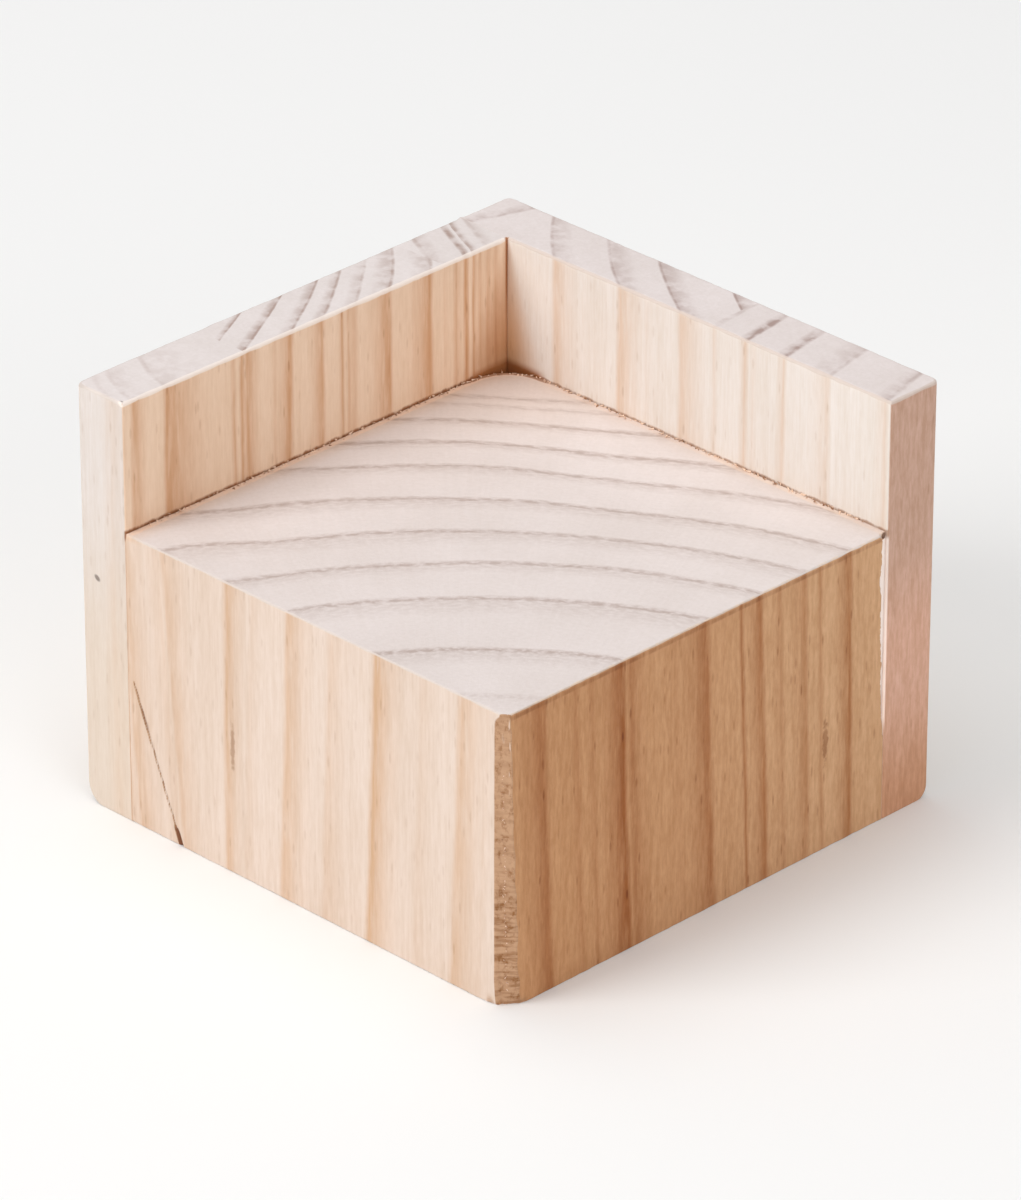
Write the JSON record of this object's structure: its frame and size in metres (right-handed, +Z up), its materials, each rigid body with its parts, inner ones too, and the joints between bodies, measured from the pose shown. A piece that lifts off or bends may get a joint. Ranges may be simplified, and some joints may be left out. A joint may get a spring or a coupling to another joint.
{
  "type": "bed riser",
  "caption": "Pine block with two taller boards glued to adjacent sides, so a bed or furniture leg stands on the block and is held in the corner of the L-shaped lip.",
  "frame": {"origin": "centre of the outer footprint, at the floor", "axes": "+Z up; the left board stands along the -X side and the right board along the +Y side, so the seat is open towards +X and -Y"},
  "size_m": [0.092, 0.093, 0.072],
  "materials": {
    "block_pine": "sawn and sanded pine, end grain up, unfinished",
    "left_board_pine": "sanded pine board, unfinished",
    "right_board_pine": "sanded pine board, unfinished"
  },
  "bodies": {
    "root": {"block": "block_pine", "left_board": "left_board_pine", "right_board": "right_board_pine"}
  },
  "joints": []
}
